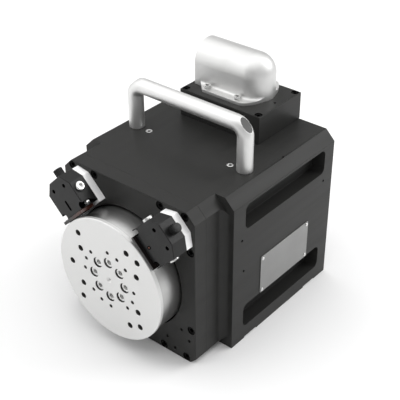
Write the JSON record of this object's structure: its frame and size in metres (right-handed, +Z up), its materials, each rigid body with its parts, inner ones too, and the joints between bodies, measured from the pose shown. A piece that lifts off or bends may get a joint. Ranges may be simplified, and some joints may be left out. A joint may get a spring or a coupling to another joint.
{
  "type": "torque motor rotary table",
  "caption": "Direct-drive rotary table with a drilled round faceplate, two scanning heads, a grab handle and a top cable elbow.",
  "frame": {"origin": "centre of the faceplate's front face, on the spindle axis", "axes": "+Y along the spindle axis from the faceplate to the rear, +Z up through the handle, +X to the right seen from the front"},
  "size_m": [0.238, 0.296, 0.3129],
  "materials": {
    "body_black": "black anodised, satin",
    "plate_steel": "fine turned and ground, light",
    "drum_steel": "polished",
    "screw_bright": "bright",
    "screw_black": "black oxide",
    "spindle_steel": "turned",
    "bearing_steel": "ground",
    "cage_brass": "machined",
    "seal_rubber": "matt",
    "jacket_aluminium": "machined",
    "stack_iron": "laminated sheet",
    "coil_copper": "enamelled copper",
    "magnet_nickel": "nickel plated",
    "rear_black": "black anodised, satin",
    "elbow_aluminium": "satin",
    "handle_aluminium": "satin",
    "label_aluminium": "matt",
    "head_black": "fine grained",
    "spacer_white": "white, satin",
    "scan_amber": "dark amber",
    "cap_black": "ribbed"
  },
  "bodies": {
    "housing": {"housing": "body_black", "front_cover": "body_black", "junction_box": "body_black", "elbow_screws": "screw_bright", "head_side_screws": "screw_bright", "top_screws": "screw_bright", "head_mount_screws": "screw_bright", "nameplate_rivets": "screw_bright", "cover_screws": "screw_black", "box_screws": "screw_black", "rear_plate_screws": "screw_black", "bearing_cap_screws": "screw_black", "handle_studs": "screw_black", "rear_bearing_cap": "spindle_steel", "spring_ring": "spindle_steel", "front_bearing_outer_ring": "bearing_steel", "front_bearing_rollers": "bearing_steel", "rear_bearing_outer_ring": "bearing_steel", "rear_bearing_rollers": "bearing_steel", "rear_bearing_cage": "cage_brass", "shaft_seal": "seal_rubber", "jacket_seal_rings": "seal_rubber", "box_gasket": "seal_rubber", "cooling_jacket": "jacket_aluminium", "rear_shield": "jacket_aluminium", "stator_stack": "stack_iron", "stator_coils": "coil_copper", "rear_plate": "rear_black", "cable_elbow": "elbow_aluminium", "handle": "handle_aluminium", "nameplate": "label_aluminium", "right_head_body": "head_black", "left_head_body": "head_black", "right_head_spacer": "spacer_white", "left_head_spacer": "spacer_white", "right_scan_block": "scan_amber", "left_scan_block": "scan_amber", "head_caps": "cap_black"},
    "rotor": {"faceplate": "plate_steel", "faceplate_screws": "screw_bright", "graduated_drum": "drum_steel", "drum_screws": "screw_black", "spindle": "spindle_steel", "front_bearing_inner_ring": "bearing_steel", "bearing_nut": "spindle_steel", "rotor_ring": "stack_iron", "rotor_magnets": "magnet_nickel", "rear_bearing_inner_ring": "bearing_steel", "rear_nut": "spindle_steel"}
  },
  "joints": [
    {"name": "table_rotation", "type": "hinge", "parent": "housing", "child": "rotor", "pos_m": [0, 0, 0], "axis": [0, -1, 0], "continuous": true}
  ]
}
